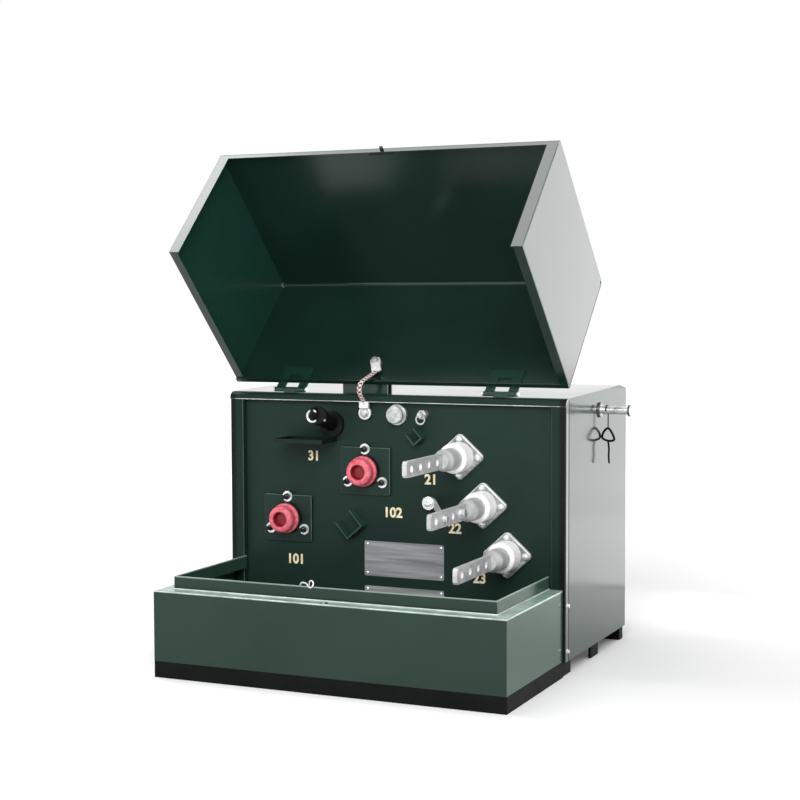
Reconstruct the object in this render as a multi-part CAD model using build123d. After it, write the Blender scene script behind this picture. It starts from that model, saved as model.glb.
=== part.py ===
import os
from math import cos, radians, sin

from build123d import *

# Overall sizes of the steel housing, in millimetres
tank_width = 813.0
tank_depth = 460.0
compartment_depth = 340.0
tank_bottom = 32.0
tank_front_height = 593.5
ridge_rise = 10.5
rear_fall = 12.0
ridge_setback = 68.0
tank_corner_radius = 20.0
cover_thickness = 4.0

# Front wall of the tank and the frame that stands proud around it
front_plate_thickness = 6.0
frame_recess = 18.0
frame_side_width = 33.0
frame_top_height = 17.0
frame_top_radius = 14.0
frame_edge_radius = 4.0
frame_inner_share = 0.8

# Sill: the low box in front of the tank, with a ledge and an upstanding lip
sill_inset = 5.0
sill_sheet = 3.0
sill_fold = 2.0
ledge_height = 187.0
ledge_width = 32.0
lip_height = 28.0
latch_hole_radius = 9.0

# Base angle under the sill
base_height = 35.0
base_leg = 30.0
base_sheet = 4.0
mitre_gap = 0.5

# Feet and rear rail under the tank
foot_thickness = 6.0
foot_length = 54.0
foot_inset = 8.0
front_foot_setback = 6.0
rail_depth = 44.0
rail_end_inset = 6.0

# Hood, drawn closed and then swung open on its hinge
hood_inset = 2.5
hood_sheet = 3.0
hood_front_inset = 7.0
hood_seat_gap = 5.0
hood_bend_radius = 10.0
hood_fold = 2.0
hood_rear_gap = 11.0
side_flange = 25.0
rear_flange = 20.0
front_flange = 15.0
top_lip = 14.0
open_angle = 135.0

# Hinge
hinge_setback = 11.0
hinge_rise = 7.5
hinge_knuckle_radius = 5.6
hinge_pin_radius = 3.2
hinge_bore_clearance = 0.1
hinge_spread = 510.0
hinge_base_length = 30.0
hinge_leaf_length = 22.0
hinge_side_gap = 1.0
hinge_pin_head_radius = 5.0
hinge_pin_head = 3.0
hinge_plate_reach = 34.0
hinge_plate_thickness = 3.0
leaf_reach = 48.0

# Stop that the open hood leans on
stop_width = 110.0
stop_offset = -80.0
stop_setback = 38.0
stop_depth = 26.0
stop_clearance = 0.3
stop_sheet = 5.0

# Latch at the hood's free edge
latch_width = 58.0
latch_plate = 5.0
latch_tongue_radius = 4.0
latch_tongue_drop = 7.0

# High-voltage bushing wells with their dust caps
hv_a_shares = (-0.65, 0.517)
hv_b_share = -0.167
hv_tray_gap = 10.0
hv_clamp_width = 122.0
hv_clamp_height = 106.0
hv_clamp_thickness = 8.0
hv_clamp_corner = 4.0
hv_clamp_edge = 1.5
hv_stud_margin = 4.0
hv_stud_angles = (90, 210, 330)
hv_stud_radius = 4.8
hv_stud_length = 16.0
hv_well_radius = 36.5
hv_well_reach = 10.0
hv_well_neck_radius = 35.0
hv_cap_radius = 30.0
hv_cap_reach = 30.0
hv_cap_rim = 4.0
hv_cap_recess_radius = 16.0
hv_cap_recess_depth = 13.0
hv_cap_draft = 3.0
hv_cap_round = 8.0
hv_cap_lip = 2.0

# Low-voltage bushings with four-hole spades
lv_place_shares = {"1": (0.394, 0.778), "2": (0.526, 0.602), "3": (0.664, 0.425)}
lv_flange_half_width = 59.0
lv_flange_half_height = 53.0
lv_flange_thickness = 9.0
lv_flange_corner = 9.0
lv_flange_edge = 2.0
lv_insulator_radius = 33.0
lv_insulator_reach = 42.0
lv_insulator_edge = 6.0
lv_stub_radius = 24.0
lv_stub_reach = 44.0
lv_stub_neck = 18.0
lv_spade_thickness = 10.0
lv_spade_height = 33.0
lv_hole_radius = 7.0
lv_hole_spacing = 44.45
lv_hole_end = 25.0
lv_hole_root = 48.0
lv_holes = 4

# Fuse holder and its drip tray
fuse_shares = (-0.374, 0.883)
fuse_tilt = 18.0
fuse_flange_radius = 29.0
fuse_flange_thickness = 9.0
fuse_body_radius = 17.0
fuse_body_length = 74.0
fuse_collar_radius = 21.0
fuse_collar_length = 14.0
fuse_eye_radius = 12.0
fuse_eye_wire = 3.0
tray_width = 120.0
tray_depth = 78.0
tray_offset = -48.0
tray_gap = 1.0
tray_rim = 9.0
tray_sheet = 2.0

# Fill plug and pressure relief valve
fill_share = 0.025
fill_gap = 3.5
fill_ring_radius = 23.0
fill_ring_reach = 7.0
fill_cap_radius = 19.5
fill_cap_reach = 24.0
fill_edge = 2.0
relief_shares = (0.182, 0.93)
relief_body_radius = 11.0
relief_body_reach = 16.0
relief_stem_radius = 6.0
relief_stem_reach = 12.0
relief_ring_radius = 10.0
relief_ring_wire = 1.6

# Earth bosses and the two flat straps
boss_radius = 13.0
boss_reach = 8.0
bond_shares = (-0.165, 0.93)
neutral_share = 0.217
strap_width = 12.0
strap_thickness = 3.0
bond_hood_reach = 62.0
bond_bulge = 14.0
bond_neck = 10.0
bond_rise = 28.0
strap_bend = 8.0
neutral_width = 22.0
neutral_lap = 26.0
neutral_hole = 1

# Parking stands for the cable elbows
stand_shares = {"a": (-0.251, 0.507), "b": (0.143, 0.848)}
stand_widths = {"a": 48.0, "b": 26.0}
stand_lengths = {"a": 46.0, "b": 30.0}
stand_tilt = 40.0
stand_depth = 24.0
stand_wall = 3.0

# Bare plates riveted to the front wall
plate_share = 0.059
plate_width = 193.0
plate_thickness = 1.5
plate_corner = 4.0
name_plate_share = 0.379
name_plate_height = 79.0
lower_plate_share = 0.209
lower_plate_height = 78.0

# Lifting pins on the tank's sides
lift_setback = 239.0
lift_drop = 37.5
lift_collar_radius = 17.0
lift_collar_length = 4.0
lift_pin_radius = 9.0
lift_pin_length = 66.0
lift_end_radius = 13.0
lift_end_length = 5.0

# Overrun of every cut, the gap round a piece seated in a hole, and the bands of a rounded shoulder
overrun = 5.0
seat_gap = 0.3
shoulder_bands = 3

# Places that follow from the sizes above
overall_depth = compartment_depth + tank_depth
sill_front_y = -overall_depth / 2
face_y = sill_front_y + compartment_depth
rear_y = overall_depth / 2
plate_y = face_y + frame_recess
body_y = plate_y + front_plate_thickness
half_width = tank_width / 2
sill_half = half_width - sill_inset
hood_half = half_width - hood_inset
hinge_y = face_y + hinge_setback
hinge_z = tank_front_height + hinge_rise
hood_bottom = ledge_height + hood_seat_gap
hood_rear_y = face_y - hood_rear_gap
hood_front_y = sill_front_y + hood_front_inset
hood_top_z = hinge_z + hinge_knuckle_radius
latch_y = hood_front_y + front_flange / 2
hood_under = hood_top_z - hood_sheet
ridge_y = rear_y - ridge_setback
tank_ridge_height = tank_front_height + ridge_rise
tank_rear_height = tank_ridge_height - rear_fall
frame_top_z = tank_front_height - frame_top_height


def wall_place(shares):
    """A place on the front wall, from shares of its half width and its height."""
    across, up = shares
    return across * half_width, up * tank_front_height


fuse_x, fuse_z = wall_place(fuse_shares)
tray_top = fuse_z - fuse_flange_radius - tray_gap
tray_bottom = tray_top - tray_rim
hv_b_z = tray_bottom - hv_tray_gap - hv_clamp_height / 2
hv_places = {"a": wall_place(hv_a_shares), "b": (hv_b_share * half_width, hv_b_z)}
lv_places = {number: wall_place(shares) for number, shares in lv_place_shares.items()}
stand_places = {letter: wall_place(shares) for letter, shares in stand_shares.items()}
fill_x = fill_share * half_width
fill_z = frame_top_z - fill_ring_radius - fill_gap
relief_x, relief_z = wall_place(relief_shares)
bond_x, bond_z = wall_place(bond_shares)
neutral_x = neutral_share * half_width
lift_height = tank_front_height - lift_drop


def block(x0, x1, y0, y1, z0, z1):
    """A block between its limits."""
    return Pos((x0 + x1) / 2, (y0 + y1) / 2, (z0 + z1) / 2) * Box(x1 - x0, y1 - y0, z1 - z0)


def outline(points):
    """A flat face inside straight edges."""
    return make_face(Polyline(*points, close=True))


def folded(points, folds):
    """A folded sheet's section: an outline whose listed corners are rounded."""
    face = outline(points)
    for index, radius in folds.items():
        face = fillet(face.vertices().sort_by_distance(points[index])[0], radius)
    return face


def along_x(face, x0, x1):
    """A prism of a face drawn in Y and Z."""
    return extrude(Plane.YZ.offset(x0) * face, x1 - x0)


def along_y(face, y0, y1):
    """A prism of a face drawn in X and Z."""
    return extrude(Plane.XZ.offset(-y1) * face, y1 - y0)


def along_z(face, z0, z1):
    """A prism of a face drawn in X and Y."""
    return extrude(Plane.XY.offset(z0) * face, z1 - z0)


def rod_x(radius, x0, x1, y, z):
    """A round bar along X."""
    return Pos((x0 + x1) / 2, y, z) * Rot(0, 90, 0) * Cylinder(radius, x1 - x0)


def rod_y(radius, x, y0, y1, z):
    """A round bar along Y."""
    return Pos(x, (y0 + y1) / 2, z) * Rot(90, 0, 0) * Cylinder(radius, y1 - y0)


def turned(points):
    """A turned piece: points are radius and reach, and the reach runs towards the front."""
    face = outline([(radius, -reach) for radius, reach in points])
    return revolve(face, Axis.Y, 360)


def shoulder(radius, reach, edge):
    """Points of a turned piece's rounded front edge."""
    turns = [radians(90 * i / shoulder_bands) for i in range(shoulder_bands + 1)]
    return [(radius - edge * (1 - cos(turn)), reach - edge * (1 - sin(turn))) for turn in turns]


def roof_height(y):
    """Height of the sloping roof at a depth."""
    if y <= ridge_y:
        rise = (tank_ridge_height - tank_front_height) / (ridge_y - face_y)
        return tank_front_height + rise * (y - face_y)
    fall = (tank_ridge_height - tank_rear_height) / ridge_setback
    return tank_ridge_height - fall * (y - ridge_y)


# Tank: one oil-filled housing, its sloping cover and its front wall
def rounded_at_rear(profile):
    """A prism across the tank's width, with its upright rear edges rounded."""
    solid = along_x(outline(profile), -half_width, half_width)
    rear = solid.edges().filter_by(Axis.Z).group_by(Axis.Y)[-1]
    return fillet(rear, tank_corner_radius)


def under_cover(y):
    """Height of the cover's underside."""
    return roof_height(y) - cover_thickness


tank_body = rounded_at_rear([
    (body_y, tank_bottom),
    (rear_y, tank_bottom),
    (rear_y, under_cover(rear_y)),
    (ridge_y, under_cover(ridge_y)),
    (body_y, under_cover(body_y)),
])
cover_depths = (plate_y, ridge_y, rear_y)
cover_under = [(y, under_cover(y)) for y in cover_depths]
cover_over = [(y, roof_height(y)) for y in reversed(cover_depths)]
tank_cover = rounded_at_rear(cover_under + cover_over)
front_plate_profile = [
    (plate_y, tank_bottom),
    (body_y, tank_bottom),
    (body_y, under_cover(body_y)),
    (plate_y, under_cover(plate_y)),
]
front_plate = along_x(outline(front_plate_profile), -half_width, half_width)

# Front frame: two uprights and a rounded head
frame_top = block(-half_width, half_width, face_y, plate_y, frame_top_z, tank_front_height)
head_edge = frame_top.edges().filter_by(Axis.X).group_by(Axis.Z)[-1].sort_by(Axis.Y)[0]
frame_top = fillet(head_edge, frame_top_radius)
lower_edge = frame_top.edges().filter_by(Axis.X).group_by(Axis.Z)[0].sort_by(Axis.Y)[0]
frame_inner_radius = frame_inner_share * (frame_top_height - frame_top_radius)
frame_top = fillet(lower_edge, frame_inner_radius)


def frame_side(side):
    """One upright of the front frame."""
    inner, outer = sorted((side * (half_width - frame_side_width), side * half_width))
    upright = block(inner, outer, face_y, plate_y, tank_bottom, frame_top_z)
    front = upright.edges().filter_by(Axis.Z).group_by(Axis.Y)[0].sort_by(Axis.X, reverse=side > 0)
    upright = fillet(front[0], frame_edge_radius)
    front = upright.edges().filter_by(Axis.Z).group_by(Axis.Y)[0].sort_by(Axis.X, reverse=side > 0)
    return fillet(front[-1], frame_inner_radius)


# Sill and base angle: folded sections, mitred at the corners
def sill_section():
    """The sill's section: distance inward from its outer face, and height."""
    inner_lip = ledge_width + sill_sheet
    lip_end = ledge_height + lip_height
    return [
        (0, base_height),
        (0, ledge_height),
        (ledge_width, ledge_height),
        (ledge_width, lip_end),
        (inner_lip, lip_end),
        (inner_lip, ledge_height - sill_sheet),
        (sill_sheet, ledge_height - sill_sheet),
        (sill_sheet, base_height),
    ]


outer_fold = sill_fold + sill_sheet
sill_folds = {1: outer_fold, 2: sill_fold, 5: outer_fold, 6: sill_fold}


def base_section():
    """The base angle's section."""
    return [
        (0, 0),
        (0, base_height),
        (base_sheet, base_height),
        (base_sheet, base_sheet),
        (base_leg, base_sheet),
        (base_leg, 0),
    ]


def front_leg(section, folds, gap):
    """The leg across the front, cut to a mitre at both ends."""
    reach = 2 * ledge_width
    leg = along_x(folded([(sill_front_y + n, z) for n, z in section], folds), -sill_half, sill_half)
    near, far = sill_half - gap, sill_half - gap - reach
    zone = outline([
        (-near, sill_front_y),
        (near, sill_front_y),
        (far, sill_front_y + reach),
        (-far, sill_front_y + reach),
    ])
    return leg & along_z(zone, 0, tank_front_height)


def side_leg(section, folds, gap, side):
    """A leg along one side, from the mitre back to the tank."""
    reach = 2 * ledge_width
    face = folded([(side * (sill_half - n), z) for n, z in section], folds)
    leg = along_y(face, sill_front_y, face_y)
    zone = outline([
        (side * sill_half, sill_front_y + gap),
        (side * sill_half, face_y),
        (side * (sill_half - reach), face_y),
        (side * (sill_half - reach), sill_front_y + gap + reach),
    ])
    return leg & along_z(zone, 0, tank_front_height)


sill_front = front_leg(sill_section(), sill_folds, 0)
latch_hole = Pos(0, latch_y, ledge_height) * Cylinder(latch_hole_radius, 4 * sill_sheet)
sill_front = sill_front - latch_hole
sill_left = side_leg(sill_section(), sill_folds, 0, -1)
sill_right = side_leg(sill_section(), sill_folds, 0, 1)
base_angles = [front_leg(base_section(), {}, mitre_gap)]
base_angles += [side_leg(base_section(), {}, mitre_gap, side) for side in (-1, 1)]


# Feet: plates under the tank's sides and a rail across its back
def foot(side, y0):
    """A foot plate under one side of the tank."""
    outer = half_width - foot_inset
    x0, x1 = sorted((side * outer, side * (outer - foot_thickness)))
    return block(x0, x1, y0, y0 + foot_length, 0, tank_bottom)


middle_foot_y = face_y + (tank_depth - foot_length) / 2
feet = [foot(side, y0) for y0 in (face_y + front_foot_setback, middle_foot_y) for side in (-1, 1)]
rail_half = half_width - rail_end_inset
rear_rail = block(-rail_half, rail_half, rear_y - rail_depth, rear_y, 0, tank_bottom)
rear_rail = fillet(rear_rail.edges().filter_by(Axis.Z).group_by(Axis.Y)[-1], tank_corner_radius)


# Hood: a folded sheet over the top and front, with flanged side panels
def swung(solid):
    """A piece of the hood, turned from closed to fully open about the hinge."""
    return Pos(0, hinge_y, hinge_z) * Rot(-open_angle, 0, 0) * Pos(0, -hinge_y, -hinge_z) * solid


hood_outer_fold = hood_fold + hood_sheet
hood_folds = {
    0: hood_outer_fold,
    1: hood_bend_radius,
    2: hood_outer_fold,
    5: hood_fold,
    6: hood_bend_radius - hood_sheet,
    7: hood_fold,
}
hood_sheet_points = [
    (hood_front_y, hood_bottom),
    (hood_front_y, hood_top_z),
    (hood_rear_y, hood_top_z),
    (hood_rear_y, hood_top_z - top_lip),
    (hood_rear_y - hood_sheet, hood_top_z - top_lip),
    (hood_rear_y - hood_sheet, hood_top_z - hood_sheet),
    (hood_front_y + hood_sheet, hood_top_z - hood_sheet),
    (hood_front_y + hood_sheet, hood_bottom + hood_sheet),
    (hood_front_y + front_flange, hood_bottom + hood_sheet),
    (hood_front_y + front_flange, hood_bottom),
]
hood_wrap = along_x(folded(hood_sheet_points, hood_folds), -hood_half, hood_half)
bend_z = hood_top_z - hood_bend_radius
bend_y = hood_front_y + hood_bend_radius
top_zone = block(-hood_half, hood_half, hood_front_y, hood_rear_y, bend_z, hood_top_z)
top_zone += block(-hood_half, hood_half, bend_y, hood_rear_y, hood_top_z - 2 * top_lip, hood_top_z)
hood_top = hood_wrap & top_zone
hood_front = hood_wrap - top_zone


def hood_side(side):
    """One side panel with its bottom and rear flanges, between the folded sheet's edges."""
    front = hood_front_y + hood_bend_radius
    rear = hood_rear_y - hood_sheet
    top = hood_top_z - hood_sheet
    outer = side * hood_half

    def slab(width, y0, y1, z0, z1):
        x0, x1 = sorted((outer, outer - side * width))
        return block(x0, x1, y0, y1, z0, z1)

    panel = slab(hood_sheet, hood_front_y + hood_sheet, rear, hood_bottom, bend_z)
    panel += slab(hood_sheet, front, rear, hood_bottom, top)
    panel += slab(side_flange, hood_front_y + front_flange, rear, hood_bottom, hood_bottom + hood_sheet)
    panel += slab(rear_flange, rear - hood_sheet, rear, hood_bottom, hood_top_z - top_lip)
    flange_end = hood_front_y + front_flange
    panel -= slab(hood_sheet, hood_front_y, flange_end, hood_bottom, hood_bottom + hood_sheet)
    panel -= hood_wrap
    outer_face = panel.faces().filter_by(Axis.X).sort_by(Axis.X, reverse=side > 0)[0]
    rear_edge = outer_face.edges().filter_by(Axis.Z).sort_by(Axis.Y)[-1]
    bottom_edge = outer_face.edges().filter_by(Axis.Y).sort_by(Axis.Z)[0]
    return fillet([rear_edge, bottom_edge], hood_fold)


# Hinges: bases welded to the roof's edge, leaves welded under the hood, fixed pins
def hinge_base(x):
    """A knuckle on the tank, with its foot on the roof."""
    x0, x1 = x - hinge_base_length / 2, x + hinge_base_length / 2
    foot_z = roof_height(plate_y)
    knuckle = rod_x(hinge_knuckle_radius, x0, x1, hinge_y, hinge_z)
    web_y0, web_y1 = hinge_y - hinge_knuckle_radius, hinge_y + hinge_knuckle_radius
    web = block(x0, x1, web_y0, web_y1, tank_front_height, hinge_z)
    plate = outline([
        (plate_y, roof_height(plate_y)),
        (plate_y + hinge_plate_reach, roof_height(plate_y + hinge_plate_reach)),
        (plate_y + hinge_plate_reach, roof_height(plate_y + hinge_plate_reach) + hinge_plate_thickness),
        (hinge_y, foot_z + hinge_plate_thickness),
        (hinge_y, foot_z),
    ])
    base = knuckle + web + along_x(plate, x0, x1)
    return base - rod_x(hinge_pin_radius, x0 - overrun, x1 + overrun, hinge_y, hinge_z)


def leaf_spans(x):
    """Where the hood's two arms lie along one hinge."""
    inner = hinge_base_length / 2 + hinge_side_gap
    outer = inner + hinge_leaf_length
    return ((x - outer, x - inner), (x + inner, x + outer))


def hinge_leaf(x):
    """The hood's two knuckles and the leaf under its top, drawn closed."""
    leaf_y = hood_rear_y - leaf_reach
    (x0, _), (_, x1) = leaf_spans(x)
    leaf = block(x0, x1, leaf_y, leaf_y + leaf_reach / 2, hood_under - hinge_plate_thickness, hood_under)
    for start, end in leaf_spans(x):
        leaf += rod_x(hinge_knuckle_radius, start, end, hinge_y, hinge_z)
        leaf += block(start, end, leaf_y, hinge_y, hood_under - hinge_plate_thickness, hood_under)
    bore = hinge_pin_radius + hinge_bore_clearance
    return leaf - rod_x(bore, x0 - overrun, x1 + overrun, hinge_y, hinge_z)


hinge_places = (-hinge_spread / 2, hinge_spread / 2)
for hinge_x in hinge_places:
    for start, end in leaf_spans(hinge_x):
        hood_top -= block(
            start - seat_gap, end + seat_gap,
            hood_rear_y - 2 * hood_sheet, hood_rear_y + overrun,
            hood_under - hinge_plate_thickness - seat_gap, hood_under,
        )


def hinge_pin(x):
    """A headed pin through one hinge."""
    end = hinge_base_length / 2 + 2 * hinge_side_gap + hinge_leaf_length
    pin = rod_x(hinge_pin_radius, x - end, x + end, hinge_y, hinge_z)
    for side in (-1, 1):
        x0, x1 = sorted((x + side * end, x + side * (end + hinge_pin_head)))
        pin += rod_x(hinge_pin_head_radius, x0, x1, hinge_y, hinge_z)
    return pin


# Stop: a folded bracket on the roof that the open hood leans on
def swing_point(y, z):
    """Where a point of the closed hood lies when it is open."""
    turn = radians(open_angle)
    dy, dz = y - hinge_y, z - hinge_z
    return (
        hinge_y + dy * cos(turn) + dz * sin(turn),
        hinge_z - dy * sin(turn) + dz * cos(turn),
    )


def open_face_height(y):
    """Height of the open hood's outer face at a depth, less the stop's clearance."""
    turn = radians(open_angle)
    edge_y, edge_z = swing_point(hood_rear_y, hood_top_z)
    return edge_z - (y - edge_y) * sin(turn) / cos(turn) + stop_clearance / cos(turn)


stop_y0 = face_y + stop_setback
stop_y1 = stop_y0 + stop_depth
stop_profile = outline([
    (stop_y0, roof_height(stop_y0)),
    (stop_y0, open_face_height(stop_y0)),
    (stop_y1, open_face_height(stop_y1)),
    (stop_y1, roof_height(stop_y1)),
    (stop_y1 - stop_sheet, roof_height(stop_y1 - stop_sheet)),
    (stop_y1 - stop_sheet, open_face_height(stop_y1 - stop_sheet) - stop_sheet),
    (stop_y0 + stop_sheet, open_face_height(stop_y0 + stop_sheet) - stop_sheet),
    (stop_y0 + stop_sheet, roof_height(stop_y0 + stop_sheet)),
])
hood_stop = along_x(stop_profile, stop_offset - stop_width / 2, stop_offset + stop_width / 2)

# Latch: a plate on the hood's front flange with a tongue that enters the ledge's hole
flange_top_z = hood_bottom + hood_sheet
hood_latch = block(
    -latch_width / 2, latch_width / 2,
    hood_front_y + hood_outer_fold, hood_front_y + front_flange,
    flange_top_z, flange_top_z + latch_plate,
)
tongue_bottom = hood_bottom - latch_tongue_drop
tongue_length = flange_top_z + latch_plate - tongue_bottom
tongue = Cylinder(latch_tongue_radius, tongue_length)
hood_latch += Pos(0, latch_y, tongue_bottom + tongue_length / 2) * tongue
tongue_hole = Pos(0, latch_y, hood_bottom) * Cylinder(latch_tongue_radius + seat_gap, 4 * hood_sheet)
hood_front = hood_front - tongue_hole


# High-voltage wells: clamp plate with studs, well body and dust cap
def hv_clamp(x, z):
    """The clamp plate with its studs."""
    plate = RectangleRounded(hv_clamp_width, hv_clamp_height, hv_clamp_corner)
    clamp = Pos(x, 0, z) * along_y(plate, plate_y - hv_clamp_thickness, plate_y)
    clamp = chamfer(clamp.faces().sort_by(Axis.Y)[0].edges(), hv_clamp_edge)
    front = plate_y - hv_clamp_thickness
    radius = hv_clamp_height / 2 - hv_stud_margin
    for angle in hv_stud_angles:
        stud_x = x + radius * cos(radians(angle))
        stud_z = z + radius * sin(radians(angle))
        clamp += rod_y(hv_stud_radius, stud_x, front - hv_stud_length, plate_y, stud_z)
    return clamp


def hv_well(x, z):
    """The moulded well body, a stepped ring on the clamp plate."""
    step = hv_well_reach / 2
    well = turned([
        (0, 0),
        (hv_well_radius, 0),
        (hv_well_radius, step),
        (hv_well_neck_radius, hv_well_reach),
        (0, hv_well_reach),
    ])
    return Pos(x, plate_y - hv_clamp_thickness, z) * well


def hv_cap(x, z):
    """The dust cap: a round-shouldered cup with a rolled rim and a bowl in its face."""
    cap = turned([
        (0, 0),
        (hv_cap_radius + hv_cap_rim, 0),
        (hv_cap_radius + hv_cap_rim, hv_cap_rim),
        (hv_cap_radius, 2 * hv_cap_rim),
        *shoulder(hv_cap_radius, hv_cap_reach, hv_cap_round),
        (hv_cap_recess_radius + hv_cap_lip, hv_cap_reach),
        (hv_cap_recess_radius, hv_cap_reach - hv_cap_lip),
        (hv_cap_recess_radius - hv_cap_draft, hv_cap_reach - hv_cap_recess_depth),
        (0, hv_cap_reach - hv_cap_recess_depth),
    ])
    return Pos(x, plate_y - hv_clamp_thickness - hv_well_reach, z) * cap


# Low-voltage bushings: diamond flange, moulded insulator, stub and four-hole spade
def lv_flange(x, z):
    """The diamond-shaped flange on the front wall."""
    diamond = outline([
        (lv_flange_half_width, 0),
        (0, lv_flange_half_height),
        (-lv_flange_half_width, 0),
        (0, -lv_flange_half_height),
    ])
    diamond = fillet(diamond.vertices(), lv_flange_corner)
    flange = Pos(x, 0, z) * along_y(diamond, plate_y - lv_flange_thickness, plate_y)
    return chamfer(flange.faces().sort_by(Axis.Y)[0].edges(), lv_flange_edge)


lv_insulator_y = plate_y - lv_flange_thickness
lv_stub_y = lv_insulator_y - lv_insulator_reach
lv_blade_y = lv_stub_y - lv_stub_reach
lv_tip_y = lv_blade_y - lv_hole_root - (lv_holes - 1) * lv_hole_spacing - lv_hole_end


def lv_insulator(x, z):
    """The round insulator, with its front edge rounded."""
    insulator = turned([
        (0, 0),
        (lv_insulator_radius, 0),
        *shoulder(lv_insulator_radius, lv_insulator_reach, lv_insulator_edge),
        (0, lv_insulator_reach),
    ])
    return Pos(x, lv_insulator_y, z) * insulator


def lv_spade(x, z):
    """The terminal: a round stub that necks down into an upright blade with a row of holes."""
    stub = turned([
        (0, 0),
        (lv_stub_radius, 0),
        (lv_stub_radius, lv_stub_reach),
        (lv_spade_height / 2, lv_stub_reach + lv_stub_neck),
        (0, lv_stub_reach + lv_stub_neck),
    ])
    spade = Pos(x, lv_stub_y, z) * stub
    half = lv_spade_thickness / 2
    blade = block(
        x - half, x + half,
        lv_tip_y, lv_blade_y,
        z - lv_spade_height / 2, z + lv_spade_height / 2,
    )
    tip = blade.edges().filter_by(Axis.X).group_by(Axis.Y)[0]
    spade += chamfer(tip, lv_spade_thickness / 2)
    for i in range(lv_holes):
        hole_y = lv_tip_y + lv_hole_end + i * lv_hole_spacing
        spade -= rod_x(lv_hole_radius, x - lv_stub_radius, x + lv_stub_radius, hole_y, z)
    return spade


# Fuse: a holder that slopes up out of the wall, with a pull eye, over a drip tray
def fuse_holder():
    """The fuse's flange, sloping body, collar and pull eye."""
    flange = rod_y(fuse_flange_radius, fuse_x, plate_y - fuse_flange_thickness, plate_y, fuse_z)
    reach = fuse_flange_thickness + fuse_body_length
    body = turned([
        (0, 0),
        (fuse_body_radius, 0),
        (fuse_body_radius, reach - fuse_collar_length),
        (fuse_collar_radius, reach - fuse_collar_length),
        (fuse_collar_radius, reach - fuse_eye_wire),
        (fuse_collar_radius - fuse_eye_wire, reach),
        (0, reach),
    ])
    eye_y = -reach - fuse_eye_radius
    eye = rod_x(fuse_eye_radius + fuse_eye_wire, -fuse_eye_wire, fuse_eye_wire, eye_y, 0)
    eye -= rod_x(fuse_eye_radius - fuse_eye_wire, -reach, reach, eye_y, 0)
    sloping = Pos(fuse_x, plate_y, fuse_z) * Rot(-fuse_tilt, 0, 0) * (body + eye)
    wall = block(
        fuse_x - 2 * fuse_flange_radius, fuse_x + 2 * fuse_flange_radius,
        plate_y, plate_y + fuse_flange_radius,
        fuse_z - 2 * fuse_flange_radius, fuse_z + 2 * fuse_flange_radius,
    )
    return flange + sloping - wall


tray_x0 = fuse_x + tray_offset - tray_width / 2
tray_x1 = fuse_x + tray_offset + tray_width / 2
fuse_tray = block(tray_x0, tray_x1, plate_y - tray_depth, plate_y, tray_bottom, tray_top)
fuse_tray -= block(
    tray_x0 + tray_sheet, tray_x1 - tray_sheet,
    plate_y - tray_depth + tray_sheet, plate_y - tray_sheet,
    tray_bottom + tray_sheet, tray_top + overrun,
)

# Fill plug and relief valve
fill_cap = Pos(fill_x, plate_y, fill_z) * turned([
    (0, 0),
    (fill_ring_radius, 0),
    (fill_ring_radius, fill_ring_reach),
    (fill_cap_radius, fill_ring_reach),
    (fill_cap_radius, fill_cap_reach - fill_edge),
    (fill_cap_radius - fill_edge, fill_cap_reach),
    (0, fill_cap_reach),
])


def relief_valve():
    """A hexagon body, a stem and the ring that pulls the valve open."""
    hexagon = RegularPolygon(relief_body_radius, 6)
    valve = Pos(relief_x, 0, relief_z) * along_y(hexagon, plate_y - relief_body_reach, plate_y)
    stem_y = plate_y - relief_body_reach
    valve += rod_y(relief_stem_radius, relief_x, stem_y - relief_stem_reach, stem_y, relief_z)
    ring_y = stem_y - relief_stem_reach / 2
    ring_z = relief_z - relief_ring_radius
    y0, y1 = ring_y - relief_ring_wire, ring_y + relief_ring_wire
    ring = rod_y(relief_ring_radius + relief_ring_wire, relief_x, y0, y1, ring_z)
    ring -= rod_y(relief_ring_radius - relief_ring_wire, relief_x, y0, y1, ring_z)
    return valve + ring


# Earth bosses and flat straps
def boss(x, z):
    """A round earth boss on the front wall."""
    return rod_y(boss_radius, x, plate_y - boss_reach, plate_y, z)


bond_hood_y = hood_rear_y - bond_hood_reach
hood_boss = Pos(bond_x, bond_hood_y, hood_under - boss_reach / 2) * Cylinder(boss_radius, boss_reach)
strap_y = plate_y - boss_reach - strap_thickness / 2
strap_hood_z = hood_under - boss_reach - strap_thickness / 2
strap_points = [
    (strap_y, bond_z - boss_radius),
    (strap_y, bond_z + bond_neck),
    (face_y - bond_bulge / 2, frame_top_z + bond_neck / 2),
    (face_y - bond_bulge, hinge_z),
    (face_y - bond_bulge / 4, hinge_z + bond_rise),
    swing_point(bond_hood_y + 2 * boss_radius, strap_hood_z - strap_thickness / 2),
    swing_point(bond_hood_y + boss_radius, strap_hood_z),
    swing_point(bond_hood_y - boss_radius, strap_hood_z),
]
strap_line = FilletPolyline(*strap_points, radius=strap_bend)
strap_half = strap_width / 2
bond_strap = along_x(trace(strap_line, strap_thickness), bond_x - strap_half, bond_x + strap_half)

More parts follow.
